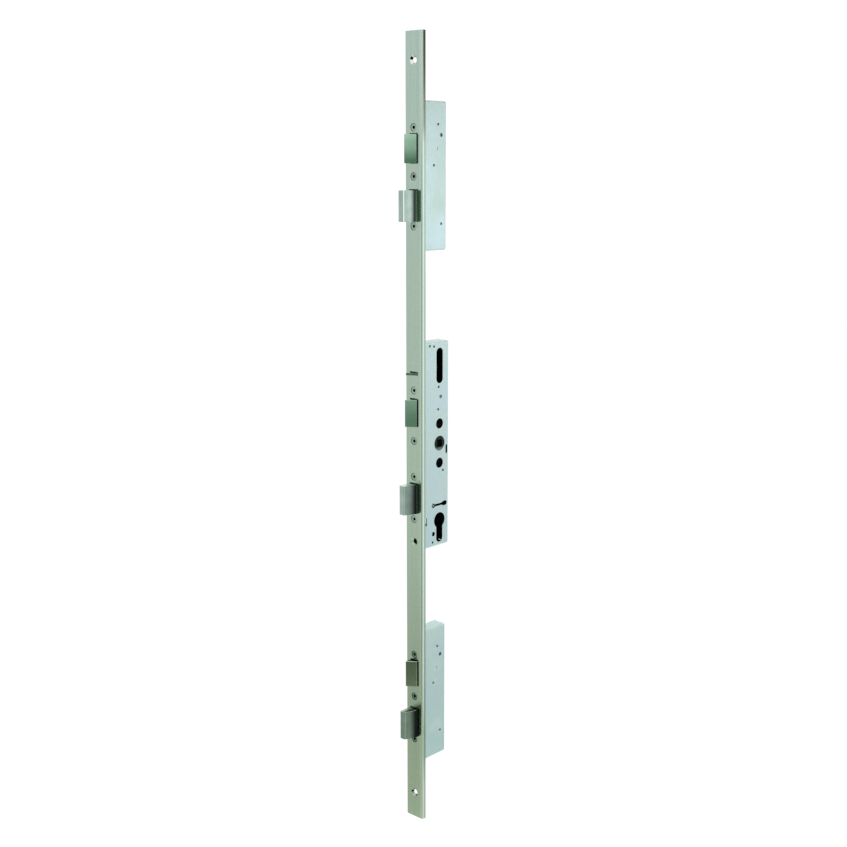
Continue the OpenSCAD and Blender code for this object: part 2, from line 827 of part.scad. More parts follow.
module latch(latch_z) {
  half = latch_w / 2;
  stop_d = front_back + slide_gap;
  color(bolt_steel) at_face() translate([0, 0, latch_z]) difference() {
    union() {
      translate([0, 0, -latch_half]) linear_extrude(latch_h) polygon([
        [-half, latch_tail_d], [-half, -latch_out + corner_cut], [-half + corner_cut, -latch_out],
        [half, -latch_low], [half, latch_tail_d]
      ]);
      translate([-half, stop_d, -latch_half - shoulder])
        cube([latch_w, shoulder_t, latch_h + 2 * shoulder]);
    }
    y_rod(rod_up, rod_tip_d - latch_travel - rod_room, latch_tail_d, rod_r + fit);
  }
}

module latch_spring(latch_z) {
  foot = latch_tail_d + run_gap;
  color(spring_steel) at_face() translate([0, foot, latch_z + rod_up]) rotate([-90, 0, 0])
    coil(latch_seat_d - run_gap - foot, latch_coil_r, latch_wire_r, 7);
}

// Riveted block with the guide rod that the latch and its spring run on
module latch_seat(latch_z) {
  color(steel) at_face() difference() {
    union() {
      translate([-inner, latch_seat_d, latch_z + rod_up - latch_rod_rim])
        cube([2 * inner, latch_seat_t, latch_rivet_up - rod_up + latch_rod_rim + latch_seat_rim]);
      y_rod(latch_z + rod_up, rod_tip_d, latch_seat_d + eps - rod_tip_d, rod_r);
    }
    rivet_holes([latch_rivet(latch_z)], seat_rivet_d);
  }
}

// Trigger

module trigger() {
  half = trigger_w / 2;
  block_d = front_back + slide_gap;
  block_top = trigger_z + trigger_t / 2 + trigger_low;
  color(bolt_steel) at_face() difference() {
    union() {
      translate([0, 0, trigger_z - trigger_t / 2]) linear_extrude(trigger_t) polygon([
        [-half, block_d + eps], [-half, -trigger_out + corner_cut],
        [-half + corner_cut, -trigger_out], [half, -trigger_low], [half, block_d + eps]
      ]);
      translate([-half, block_d, block_top - trigger_block_h])
        cube([trigger_w, trigger_tail_d - block_d, trigger_block_h]);
    }
    y_rod(trigger_z - trigger_rod_down, block_d - eps, trigger_tail_d, trigger_rod_r + fit);
  }
}

module trigger_spring() {
  foot = trigger_tail_d + run_gap;
  color(spring_steel) at_face() translate([0, foot, trigger_z - trigger_rod_down]) rotate([-90, 0, 0])
    coil(trigger_seat_d - run_gap - foot, trigger_coil_r, trigger_wire_r, 5);
}

module trigger_seat() {
  rod_z = trigger_z - trigger_rod_down;
  color(steel) at_face() {
    translate([-inner, trigger_seat_d, rod_z - trigger_seat_half])
      cube([2 * inner, trigger_seat_t, 2 * trigger_seat_half]);
    y_rod(rod_z, trigger_rod_tip_d, trigger_seat_d + eps - trigger_rod_tip_d, trigger_rod_r);
  }
}

module at_upper() {
  translate([0, 0, aux_pitch]) children();
}

module at_lower() {
  translate([0, 0, -aux_pitch]) children();
}

faceplate();
main_case_tray();
main_case_cover();
main_front_plate();
main_case_screws();
main_case_rivets();
at_upper() aux_case_tray();  // upper_case_tray
at_upper() aux_case_cover();  // upper_case_cover
at_upper() aux_front_plate();  // upper_front_plate
at_upper() aux_case_screws();  // upper_case_screws
at_upper() aux_case_rivets();  // upper_case_rivets
at_lower() aux_case_tray();  // lower_case_tray
at_lower() aux_case_cover();  // lower_case_cover
at_lower() aux_front_plate();  // lower_front_plate
at_lower() aux_case_screws();  // lower_case_screws
at_lower() aux_case_rivets();  // lower_case_rivets
handle_sleeves();
follower();
return_plunger();
return_spring();
return_spring_seat();
main_rail();
aux_rail(1);  // upper_rail
aux_rail(-1);  // lower_rail
drive_lug();
main_drive_finger();
at_upper() aux_drive_finger();  // upper_drive_finger
at_lower() aux_drive_finger();  // lower_drive_finger
main_bolt();
main_bolt_pin();
at_upper() aux_bolt();  // upper_bolt
at_lower() aux_bolt();  // lower_bolt
at_upper() aux_bolt_guide();  // upper_bolt_guide
at_lower() aux_bolt_guide();  // lower_bolt_guide
latch(main_latch_z);  // main_latch
latch_spring(main_latch_z);  // main_latch_spring
latch_seat(main_latch_z);  // main_latch_seat
at_upper() latch(aux_latch_z);  // upper_latch
at_upper() latch_spring(aux_latch_z);  // upper_latch_spring
at_upper() latch_seat(aux_latch_z);  // upper_latch_seat
at_lower() latch(aux_latch_z);  // lower_latch
at_lower() latch_spring(aux_latch_z);  // lower_latch_spring
at_lower() latch_seat(aux_latch_z);  // lower_latch_seat
trigger();
trigger_spring();
trigger_seat();
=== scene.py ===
import json
import math

import bmesh
import bpy
from mathutils import Euler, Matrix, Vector


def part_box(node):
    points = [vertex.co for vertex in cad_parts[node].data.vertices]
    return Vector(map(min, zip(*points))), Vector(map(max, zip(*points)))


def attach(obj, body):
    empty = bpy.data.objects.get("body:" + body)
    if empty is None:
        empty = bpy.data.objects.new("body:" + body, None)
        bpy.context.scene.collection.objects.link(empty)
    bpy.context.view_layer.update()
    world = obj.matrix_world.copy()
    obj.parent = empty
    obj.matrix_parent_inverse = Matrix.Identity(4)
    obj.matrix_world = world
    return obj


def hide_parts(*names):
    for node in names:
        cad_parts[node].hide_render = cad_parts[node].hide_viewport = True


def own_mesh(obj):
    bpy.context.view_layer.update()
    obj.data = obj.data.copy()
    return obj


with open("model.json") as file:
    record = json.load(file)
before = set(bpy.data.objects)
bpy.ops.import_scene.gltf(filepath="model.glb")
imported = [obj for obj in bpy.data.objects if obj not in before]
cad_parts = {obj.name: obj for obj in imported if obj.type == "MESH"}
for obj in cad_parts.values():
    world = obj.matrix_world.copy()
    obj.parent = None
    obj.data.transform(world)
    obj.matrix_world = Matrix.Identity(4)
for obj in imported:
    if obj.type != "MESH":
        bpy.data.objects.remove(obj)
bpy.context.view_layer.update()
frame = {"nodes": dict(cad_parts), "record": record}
scene = bpy.context.scene
scene.view_settings.view_transform = "Standard"
cadNodes = frame["nodes"]
behaviour = frame["record"]["behaviour"]
bodyOfNode = {node: body for body, names in behaviour["bodies"].items() for node in names}
mounts = {mount["name"]: mount for mount in frame["record"]["mounts"]}
caseSides = ("main", "upper", "lower")
print("frame loaded,", len(cadNodes), "nodes")


# colours, and nodes for materials, world and geometry alike
def tone(red, green, blue):
    # screen colour 0-255 to the linear colour that a socket takes
    def linear(level):
        level /= 255
        return level / 12.92 if level <= 0.04045 else ((level + 0.055) / 1.055) ** 2.4
    return (linear(red), linear(green), linear(blue), 1.0)


def grey(level):
    return (level, level, level, 1.0)


def feed(tree, socket, value):
    # links another socket, and sets anything else as a constant
    if isinstance(value, bpy.types.NodeSocket):
        tree.links.new(value, socket)
    else:
        socket.default_value = value


def addNode(tree, kind, inputs=None, **settings):
    node = tree.nodes.new(kind)
    for key, value in settings.items():
        setattr(node, key, value)
    for socket, value in (inputs or {}).items():
        feed(tree, node.inputs[socket], value)
    return node


def wired(tree, kind, inputs, **settings):
    return addNode(tree, kind, inputs, **settings).outputs[0]


def mathNode(tree, operation, *values, clamp=False):
    return wired(tree, "ShaderNodeMath", dict(enumerate(values)), operation=operation, use_clamp=clamp)


def vectorNode(tree, x, y, z):
    return wired(tree, "ShaderNodeCombineXYZ", {"X": x, "Y": y, "Z": z})


def noiseNode(tree, vector, scale, detail, rough):
    inputs = {"Vector": vector, "Scale": scale, "Detail": detail, "Roughness": rough}
    return addNode(tree, "ShaderNodeTexNoise", inputs).outputs["Fac"]


def rangeNode(tree, value, low, high, toLow=0.0, toHigh=1.0, smooth=False):
    inputs = {"Value": value, "From Min": low, "From Max": high, "To Min": toLow, "To Max": toHigh}
    curve = "SMOOTHSTEP" if smooth else "LINEAR"
    node = addNode(tree, "ShaderNodeMapRange", inputs, clamp=True, interpolation_type=curve)
    return node.outputs["Result"]


def newGroup(name, inputs, outputs, treeKind="ShaderNodeTree"):
    # a number makes a float input with that default, and a word an input of that kind
    tree = bpy.data.node_groups.new(name, treeKind)
    for socket, given in inputs.items():
        kind = given if isinstance(given, str) else "Float"
        made = tree.interface.new_socket(name=socket, in_out="INPUT", socket_type="NodeSocket" + kind)
        if kind == "Float":
            made.default_value = given
    kind = "NodeSocketGeometry" if treeKind == "GeometryNodeTree" else "NodeSocketFloat"
    for socket in outputs:
        tree.interface.new_socket(name=socket, in_out="OUTPUT", socket_type=kind)
    return tree, tree.nodes.new("NodeGroupInput").outputs, tree.nodes.new("NodeGroupOutput").inputs


# camera, at the photograph's viewing angle
cameraView = {
    "place": (0.90433, -1.00498, 0.28998),
    "azimuth": 42.470,
    "down": 11.278,
    "roll": 0.013,
    "lens": 54.70,
    "sensor": 36.0,
    "clip": (0.05, 30),
}


def placeCamera(view):
    data = bpy.data.cameras.new("viewCamera")
    data.sensor_width = view["sensor"]
    data.lens = view["lens"]
    data.clip_start, data.clip_end = view["clip"]
    camera = bpy.data.objects.new("viewCamera", data)
    camera.location = view["place"]
    turn = (90 - view["down"], view["roll"], view["azimuth"])
    camera.rotation_euler = Euler([math.radians(angle) for angle in turn])
    scene.collection.objects.link(camera)
    scene.camera = camera


placeCamera(cameraView)
print("camera placed")

# stage: white room, pale floor, a soft key light, and cards that only reflections see
stageLight = {
    "floorLevel": -0.75,
    "floorHalf": 9.0,
    "floorTone": 0.90,
    "stageRough": 0.9,
    "roomLight": 1.12,
    "seenLight": 1.10,
    "keyPlace": (1.6, 1.1, 1.9),
    "keySize": 1.6,
    "keyPower": 6.0,
}

# each card stands upright and faces the spindle, and its light runs from foot to head as pairs of height
# and colour
stageCards = {
    "frontFlag": {"azimuth": -70.0, "distance": 0.95, "width": 0.90, "light": (
        (-0.75, (0.22, 0.24, 0.20)), (-0.14, (0.44, 0.53, 0.46)),
        (0.28, (0.48, 0.55, 0.48)), (0.34, (1.20, 1.26, 1.16)))},
    "leftCard": {"azimuth": -132.5, "distance": 0.62, "width": 1.00, "light": (
        (-0.75, (0.58, 0.58, 0.58)), (-0.66, (0.74, 0.74, 0.72)), (-0.54, (0.62, 0.62, 0.62)),
        (-0.43, (0.73, 0.73, 0.73)), (-0.26, (0.87, 0.87, 0.87)), (1.10, (0.88, 0.88, 0.88)))},
    "rightCard": {"azimuth": 47.0, "distance": 1.00, "width": 1.70, "light": (
        (-0.75, (0.26, 0.29, 0.29)), (-0.65, (0.40, 0.43, 0.43)), (-0.56, (0.66, 0.69, 0.69)),
        (-0.36, (0.76, 0.79, 0.80)), (-0.15, (0.78, 0.80, 0.82)), (0.05, (0.95, 0.96, 0.97)),
        (0.22, (1.45, 1.46, 1.46)), (0.41, (1.55, 1.56, 1.56)))},
    "highFlag": {"azimuth": 47.0, "distance": 0.98, "width": 1.00, "light": (
        (0.415, (0.12, 0.13, 0.10)), (1.10, (0.12, 0.13, 0.10)))},
}


def flatPlane(name, corners):
    mesh = bpy.data.meshes.new(name)
    mesh.from_pydata(corners, [], [range(len(corners))])
    obj = bpy.data.objects.new(name, mesh)
    scene.collection.objects.link(obj)
    return obj


def plainStageMaterial(name, level):
    material = bpy.data.materials.new(name)
    material.use_nodes = True
    shader = material.node_tree.nodes["Principled BSDF"]
    shader.inputs["Base Color"].default_value = grey(level)
    shader.inputs["Roughness"].default_value = stageLight["stageRough"]
    shader.inputs["Specular IOR Level"].default_value = 0.0
    return material


def cardMaterial(name, light):
    material = plainStageMaterial(name, 0.0)
    tree = material.node_tree
    foot, head = light[0][0], light[-1][0]
    place = addNode(tree, "ShaderNodeTexCoord").outputs["Object"]
    height = addNode(tree, "ShaderNodeSeparateXYZ", {0: place}).outputs["Z"]
    ramp = addNode(tree, "ShaderNodeValToRGB", {0: rangeNode(tree, height, foot, head)})
    stops = ramp.color_ramp.elements
    while len(stops) < len(light):
        stops.new(0.5)
    for stop, (level, colour) in zip(stops, light):
        stop.position = (level - foot) / (head - foot)
        stop.color = (*colour, 1)
    shader = tree.nodes["Principled BSDF"]
    shader.inputs["Emission Strength"].default_value = 1.0
    feed(tree, shader.inputs["Emission Color"], ramp.outputs[0])
    return material


def placeCard(name, card):
    angle = math.radians(card["azimuth"])
    out = Vector((math.cos(angle), math.sin(angle), 0))
    side = Vector((-math.sin(angle), math.cos(angle), 0))
    left, right = (out * card["distance"] + side * card["width"] / 2 * way for way in (-1, 1))
    foot, head = (Vector((0, 0, card["light"][end][0])) for end in (0, -1))
    plane = flatPlane(name, [left + foot, right + foot, right + head, left + head])
    plane.data.materials.append(cardMaterial(name, card["light"]))
    plane.visible_camera = False
    plane.visible_diffuse = False
    plane.visible_shadow = False


def buildRoom(light):
    world = bpy.data.worlds.new("whiteRoom")
    scene.world = world
    world.use_nodes = True
    tree = world.node_tree
    tree.nodes.clear()
    rays = addNode(tree, "ShaderNodeLightPath").outputs
    shown = mathNode(tree, "MAXIMUM", rays["Is Camera Ray"], rays["Is Glossy Ray"])
    shown = mathNode(tree, "MAXIMUM", shown, rays["Is Transmission Ray"])
    # the camera sees a little over white, so that the border of a picture stays white as well
    strength = rangeNode(tree, rays["Is Camera Ray"], 0.0, 1.0, 1.0, light["seenLight"])
    white = wired(tree, "ShaderNodeBackground", {"Color": grey(1.0), "Strength": strength})
    room = wired(tree, "ShaderNodeBackground", {"Color": grey(1.0), "Strength": light["roomLight"]})
    mixed = wired(tree, "ShaderNodeMixShader", {0: shown, 1: room, 2: white})
    addNode(tree, "ShaderNodeOutputWorld", {"Surface": mixed})


def buildStage(light):
    half, level = light["floorHalf"], light["floorLevel"]
    corners = [(x * half, y * half, level) for x, y in ((-1, -1), (1, -1), (1, 1), (-1, 1))]
    floor = flatPlane("paleFloor", corners)
    floor.data.materials.append(plainStageMaterial("paleFloor", light["floorTone"]))
    key = bpy.data.lights.new("softKey", "AREA")
    key.size, key.energy = light["keySize"], light["keyPower"]
    lamp = bpy.data.objects.new("softKey", key)
    lamp.location = light["keyPlace"]
    lamp.rotation_euler = (-Vector(light["keyPlace"])).to_track_quat("-Z", "Y").to_euler()
    scene.collection.objects.link(lamp)


buildStage(stageLight)
buildRoom(stageLight)
for name, card in stageCards.items():
    placeCard(name, card)
print("stage built,", len(stageCards), "cards")


# patterns that the finishes share
def buildBrushLines():
    # long fine lines along Z: broad streaks and fine ones
    inputs = {"Vector": "Vector", "Across": 700.0, "Along": 9.0}
    tree, take, give = newGroup("brushLines", inputs, ("Streak", "Fine"))
    stretch = vectorNode(tree, take["Across"], take["Across"], take["Along"])
    scaled = wired(tree, "ShaderNodeVectorMath", {0: take["Vector"], 1: stretch}, operation="MULTIPLY")
    feed(tree, give["Streak"], noiseNode(tree, scaled, scale=1.0, detail=3.0, rough=0.6))
    feed(tree, give["Fine"], noiseNode(tree, scaled, scale=5.0, detail=2.0, rough=0.5))
    return tree


def buildPlatedBloom():
    # cloudy zinc: slow patches, a faint crystal pattern and a fine grain
    inputs = {"Vector": "Vector", "Patch": 34.0, "Crystal": 420.0, "Grain": 2600.0}
    tree, take, give = newGroup("platedBloom", inputs, ("Cloud", "Crystal", "Grain"))
    feed(tree, give["Cloud"], noiseNode(tree, take["Vector"], take["Patch"], detail=3.0, rough=0.55))
    cells = {"Vector": take["Vector"], "Scale": take["Crystal"]}
    shades = addNode(tree, "ShaderNodeTexVoronoi", cells, feature="F1").outputs["Color"]
    feed(tree, give["Crystal"], wired(tree, "ShaderNodeSeparateColor", {0: shades}))
    feed(tree, give["Grain"], noiseNode(tree, take["Vector"], take["Grain"], detail=2.0, rough=0.6))
    return tree


def buildEdgeRub():
    # bright worn edges with a painted highlight on the softened edges, broken up so that they aren't even
    inputs = {"Vector": "Vector", "Rim": 0.0, "Amount": 0.7, "Breaks": 160.0}
    tree, take, give = newGroup("edgeWearGlint", inputs, ("Mask",))
    patches = noiseNode(tree, take["Vector"], take["Breaks"], detail=3.0, rough=0.6)
    broken = rangeNode(tree, patches, low=0.32, high=0.62)
    masked = mathNode(tree, "MULTIPLY", broken, take["Rim"])
    feed(tree, give["Mask"], mathNode(tree, "MULTIPLY", masked, take["Amount"], clamp=True))
    return tree


# turn and stretch of the two directions that scratches lean in
scratchLeans = (((0.5, 0.3, 0.2), (30.0, 30.0, 1500.0)), ((-0.9, -0.54, 0.2), (1300.0, 26.0, 26.0)))


def buildScratches():
    # thin stray scratches from handling
    tree, take, give = newGroup("handlingScratches", {"Vector": "Vector", "Amount": 0.5}, ("Mask",))
    found = []
    for turn, stretch in scratchLeans:
        inputs = {"Vector": take["Vector"], "Rotation": turn, "Scale": stretch}
        leaning = wired(tree, "ShaderNodeMapping", inputs)
        lines = noiseNode(tree, leaning, scale=1.0, detail=1.0, rough=0.4)
        found.append(rangeNode(tree, lines, low=0.70, high=0.76))
    either = mathNode(tree, "MAXIMUM", *found)
    feed(tree, give["Mask"], mathNode(tree, "MULTIPLY", either, take["Amount"], clamp=True))
    return tree


brushLines = buildBrushLines()
platedBloom = buildPlatedBloom()
edgeWearGlint = buildEdgeRub()
handlingScratches = buildScratches()
print("shader groups built")

# finishes, and the levels of a pattern between which it changes their colour and their roughness
colourSpan = (0.35, 0.65)
roughSpan = (0.3, 0.7)


class Finish:
    def __init__(self, name):
        self.material = bpy.data.materials.new(name)
        self.material.use_nodes = True
        self.tree = self.material.node_tree
        self.shader = self.tree.nodes["Principled BSDF"].inputs
        self.shader["Metallic"].default_value = 1.0
        self.place = addNode(self.tree, "ShaderNodeTexCoord").outputs["Object"]

    def group(self, shared, **values):
        inputs = {"Vector": self.place, **values}
        return addNode(self.tree, "ShaderNodeGroup", inputs, node_tree=shared).outputs

    def mix(self, factor, first, second, blend="MIX"):
        # the colour sockets of a mix node are its inputs 6 and 7 and its output 2
        inputs = {0: factor, 6: first, 7: second}
        return addNode(self.tree, "ShaderNodeMix", inputs, data_type="RGBA", blend_type=blend).outputs[2]

    def tint(self, factor, base, colour):
        return self.mix(factor, base, self.mix(1.0, base, colour, "MULTIPLY"))

    def both(self, first, second):
        return mathNode(self.tree, "MULTIPLY", first, second)

    def run(self, letter, *ends, smooth=False):
        # from 0 to 1 between two places along an axis, or between the two levels given after them
        along = addNode(self.tree, "ShaderNodeSeparateXYZ", {0: self.place}).outputs[letter]
        return rangeNode(self.tree, along, *ends, smooth=smooth)

    def zones(self, letter, base, steps):
        # goes over to each colour in turn, between the two places that it gives along an axis
        for start, end, colour in steps:
            base = self.mix(self.run(letter, start, end), base, colour)
        return base

    def mask(self, attribute):
        return addNode(self.tree, "ShaderNodeAttribute", attribute_name=attribute).outputs["Fac"]

    def clouded(self, pattern, first, second):
        return self.mix(rangeNode(self.tree, pattern, *colourSpan), first, second)

    def streaked(self, base, lines, level):
        darker = self.mix(1.0, base, grey(level), "MULTIPLY")
        return self.clouded(lines["Streak"], darker, base)

    def glintedWear(self, base, look):
        # worn edges that also carry a painted highlight
        rim = self.group(edgeWearGlint, Rim=self.mask("rim"), Amount=look["wearGlintAmount"])
        return self.mix(rim["Mask"], base, look["wearGlint"])

    def scratched(self, base, look):
        lines = self.group(handlingScratches, Amount=look["scratchAmount"])
        return self.mix(lines["Mask"], base, look["wearGlint"])

    def finish(self, colour, rough, height, look):
        levels = rangeNode(self.tree, rough, *roughSpan, *look["rough"])
        strength, depth = look["bump"]
        bump = {"Strength": strength, "Distance": depth, "Height": height}
        feed(self.tree, self.shader["Base Color"], colour)
        feed(self.tree, self.shader["Roughness"], levels)
        feed(self.tree, self.shader["Normal"], wired(self.tree, "ShaderNodeBump", bump))
        return self.material


faceplateFinish = {
    "top": tone(181, 203, 192),
    "bottom": tone(166, 188, 158),
    "driftFrom": (-0.42, 0.42),
    "flange": tone(232, 253, 237),
    "flangeFrom": (0.0115, 0.0119),
    "flangeReflections": ((0.08, 0.24, tone(198, 218, 206)), (0.312, 0.332, tone(158, 176, 154)),
                    (-0.26, -0.32, tone(160, 184, 162)), (-0.345, -0.385, tone(196, 212, 196))),
    "gleam": (0.30, 0.32, 0.28, 1),
    "gleamAmount": 0.36,
    "gleamStart": (0.0076, 0.0088),
    "gleamEnd": (0.0106, 0.0099),
    "gleamWide": (0.29, 0.34),
    "brush": {"Across": 420.0, "Along": 7.0},
    "streak": 0.94,
    "wearGlint": tone(214, 226, 216),
    "wearGlintAmount": 0.5,
    "scratchAmount": 0.25,
    "sunk": tone(236, 240, 236),
    "shade": grey(0.58),
    "shadeFrom": (-0.0301, -0.0286),
    "grime": tone(26, 30, 27),
    "rough": (0.18, 0.28),
    "bump": (0.25, 0.00004),
}


def brushedStainless(name, look):
    coat = Finish(name)
    lines = coat.group(brushLines, **look["brush"])
    base = coat.mix(coat.run("Z", *look["driftFrom"]), look["bottom"], look["top"])
    # a painted highlight beside the edge, which runs out to the edge above the upper case
    inside, wide = coat.run("X", *look["gleamEnd"]), coat.run("Z", *look["gleamWide"])
    inner = mathNode(coat.tree, "MAXIMUM", inside, wide)
    gleam = coat.both(inner, coat.run("X", *look["gleamStart"], 0.0, look["gleamAmount"]))
    base = coat.mix(gleam, base, coat.mix(1.0, base, look["gleam"], "SCREEN"))
    # the flange is painted lighter than the front, and its painted reflections change along its height
    flange = coat.zones("Z", look["flange"], look["flangeReflections"])
    base = coat.mix(coat.run("X", *look["flangeFrom"]), base, flange)
    base = coat.streaked(base, lines, look["streak"])
    base = coat.glintedWear(base, look)
    base = coat.scratched(base, look)
    # a painted highlight in the countersinks of the end holes and the cylinder screw hole
    base = coat.mix(coat.mask("sunk"), base, look["sunk"])
    base = coat.tint(coat.run("Y", *look["shadeFrom"]), base, look["shade"])
    # painted shadow in the countersinks by the case screws and in parts of the end holes
    base = coat.mix(coat.mask("grime"), base, look["grime"])
    return coat.finish(base, lines["Fine"], lines["Fine"], look)


zincFinish = {
    "cool": tone(204, 226, 229),
    "warm": tone(206, 226, 220),
    "dull": tone(188, 208, 208),
    "dullAmount": 0.22,
    "zincShade": (0.80, 0.87, 0.82, 1),
    "zincShadeFrom": (-0.20, -0.34),
    "wearGlint": tone(226, 236, 234),
    "wearGlintAmount": 0.6,
    "jointShadow": (0.76, 0.78, 0.77, 1),
    "jointShadowFrom": (-0.0255, -0.0268),
    "scratchAmount": 0.2,
    "inside": tone(16, 18, 18),
    "rough": (0.42, 0.56),
    "bump": (0.2, 0.00004),
}


def zincPlate(name, look):
    coat = Finish(name)
    bloom = coat.group(platedBloom)
    base = coat.clouded(bloom["Cloud"], look["cool"], look["warm"])
    base = coat.mix(coat.both(bloom["Crystal"], look["dullAmount"]), base, look["dull"])
    # painted shade that deepens towards the lower case
    base = coat.tint(coat.run("Z", *look["zincShadeFrom"]), base, look["zincShade"])
    base = coat.glintedWear(base, look)
    # painted shadow on the case beside the flange
    base = coat.tint(coat.run("Y", *look["jointShadowFrom"]), base, look["jointShadow"])
    base = coat.scratched(base, look)
    # inner faces painted near black: a greasy interior with painted shade
    base = coat.mix(coat.mask("inside"), base, look["inside"])
    return coat.finish(base, bloom["Cloud"], bloom["Grain"], look)


# what every ground steel has, unless its own finish says otherwise
plainSteel = {
    "brush": {"Across": 900.0, "Along": 60.0},
    "patch": 90.0,
    "streak": 0.88,
    "wearGlintAmount": 0.7,
    "greaseFrom": (-0.12, -0.24),
    "greaseAcross": (),
    "lowShadeFrom": (-0.06, -0.26),
    "reflectionZones": (),
    "sideZones": (),
    "grime": tone(18, 20, 19),
    "bump": (0.2, 0.00003),
}


def shadedBevel(coat, base, look):
    # a bevel starts with a painted highlight and darkens with painted shade to its far end, with more
    # painted shade on the lower bolts
    heights = look["bevelHeights"]
    line = coat.both(coat.run("X", *look["lineFrom"]), coat.run("X", *look["lineTo"]))
    line = coat.both(line, coat.run("Z", *heights, *look["lineAmounts"]))
    base = coat.mix(line, base, look["line"])
    veil = coat.both(coat.run("X", *look["veilFrom"]), coat.run("Z", *heights, *look["veilAmounts"]))
    base = coat.tint(veil, base, look["veil"])
    start = coat.run("Z", *heights, *look["bevelShadeStarts"])
    return coat.mix(coat.run("X", start, look["bevelShadeEnd"], smooth=True), base, look["bevelShade"])


def groundSteel(name, ownLook):
    # steel with grinding lines and cloudy stains, for bolts, latches and inner pieces
    look = {**plainSteel, **ownLook}
    coat = Finish(name)
    lines = coat.group(brushLines, **look["brush"])
    bloom = coat.group(platedBloom, Patch=look["patch"])
    base = coat.clouded(bloom["Cloud"], look["light"], look["dark"])
    base = coat.streaked(base, lines, look["streak"])
    if "top" in look:
        # the top face, painted lighter as lit, with painted shade on its rear part in the lower case
        shadedTopEnd = coat.zones("X", look["top"], look["greaseAcross"])
        top = coat.mix(coat.run("Z", *look["greaseFrom"]), look["top"], shadedTopEnd)
        base = coat.mix(coat.mask("top"), base, top)
    if "low" in look:
        # painted shade and tint that deepen towards the lower end of the lock
        base = coat.tint(coat.run("Z", *look["lowShadeFrom"]), base, look["low"])
    base = coat.glintedWear(base, look)
    # painted reflection that changes with height, on the follower's ring
    base = coat.zones("Z", base, look["reflectionZones"])
    if "footShade" in look:
        base = coat.mix(coat.mask("rise"), coat.mix(1.0, base, look["footShade"], "MULTIPLY"), base)
    if "bevelShade" in look:
        base = shadedBevel(coat, base, look)
    if "upperEdgeGlint" in look:
        # a painted highlight along the upper edges
        base = coat.mix(coat.mask("upperEdgeGlint"), base, look["upperEdgeGlint"])
    # the side by the faceplate, darkened with painted shade that changes with height
    if "side" in look:
        side = coat.zones("Z", look["side"], look["sideZones"])
        base = coat.mix(coat.run("X", *look["sideFrom"]), base, side)
    # painted shade in hollows, such as screw sockets and rivet heads
    base = coat.mix(coat.mask("grime"), base, look["grime"])
    return coat.finish(base, lines["Fine"], lines["Fine"], look)


# bolt and latch colours carry painted light: lighter tops, painted highlights on edges and bevels, and
# painted shade on bevels, sides and the lower pieces
boltFinish = {
    "light": tone(178, 198, 190), "dark": tone(163, 183, 174), "wearGlint": tone(222, 232, 224),
    "rough": (0.20, 0.32), "streak": 0.93, "low": (0.60, 0.66, 0.575, 1),
    "top": tone(206, 222, 212), "greaseAcross": ((-0.0035, 0.0, tone(22, 28, 23)),),
    "upperEdgeGlint": tone(246, 254, 248), "bevelHeights": (-0.06, 0.22),
    "line": tone(234, 254, 246), "lineFrom": (0.0004, 0.0006), "lineTo": (0.0013, 0.0010),
    "lineAmounts": (0.12, 0.9),
    "veil": (0.60, 0.62, 0.61, 1), "veilFrom": (0.0004, 0.0012), "veilAmounts": (1.0, 0.1),
    "bevelShade": tone(20, 26, 22), "bevelShadeStarts": (0.0025, 0.0034), "bevelShadeEnd": 0.0057,
    "side": tone(88, 110, 96), "sideFrom": (0.00578, 0.00592),
    "sideZones": ((0.20, -0.02, tone(56, 68, 60)), (-0.1, -0.25, tone(26, 33, 28))),
}
latchFinish = {
    "light": tone(182, 214, 195), "dark": tone(158, 190, 170), "wearGlint": tone(186, 208, 195),
    "rough": (0.07, 0.14), "streak": 0.95, "patch": 45.0, "wearGlintAmount": 0.15, "bump": (0.04, 0.00003),
    "low": (1.10, 0.90, 0.81, 1), "footShade": (0.28, 0.36, 0.30, 1), "upperEdgeGlint": tone(246, 254, 248),
    "top": tone(236, 246, 240), "greaseAcross": ((-0.0055, -0.0035, tone(44, 52, 44)),),
    "side": tone(26, 36, 30), "sideFrom": (0.0051, 0.0053),
    "sideZones": ((0.10, 0.22, tone(78, 102, 88)),),
}
triggerFinish = {
    "light": tone(120, 140, 129), "dark": tone(98, 118, 107), "wearGlint": tone(196, 208, 200),
    "rough": (0.14, 0.24), "wearGlintAmount": 0.3, "top": tone(240, 246, 242),
}
followerFinish = {
    "light": tone(66, 78, 71), "dark": tone(16, 20, 17), "wearGlint": tone(190, 206, 196),
    "rough": (0.16, 0.30), "patch": 240.0, "wearGlintAmount": 0.4,
    "reflectionZones": ((-0.0035, -0.0065, tone(120, 134, 124)), (0.0030, 0.0070, tone(40, 50, 44))),
}
blackFinish = {
    "light": tone(16, 18, 17), "dark": tone(10, 12, 11), "wearGlint": tone(30, 34, 32), "rough": (0.40, 0.56),
}
innerFinish = {
    "light": tone(74, 78, 77), "dark": tone(50, 54, 54), "wearGlint": tone(120, 126, 124), "rough": (0.36, 0.52),
}
brightFinish = {
    "light": tone(188, 196, 194), "dark": tone(166, 174, 172), "wearGlint": tone(220, 226, 224),
    "rough": (0.24, 0.38),
}
screwFinish = {
    "light": tone(172, 194, 178), "dark": tone(144, 166, 150), "wearGlint": tone(216, 226, 218),
    "rough": (0.24, 0.36), "low": (0.44, 0.54, 0.45, 1),
}
rivetFinish = {
    "light": tone(104, 116, 114), "dark": tone(68, 78, 76), "wearGlint": tone(220, 228, 226),
    "rough": (0.22, 0.34),
}
springFinish = {
    "light": tone(150, 152, 156), "dark": tone(118, 120, 126), "wearGlint": tone(180, 184, 188),
    "rough": (0.26, 0.4),
}

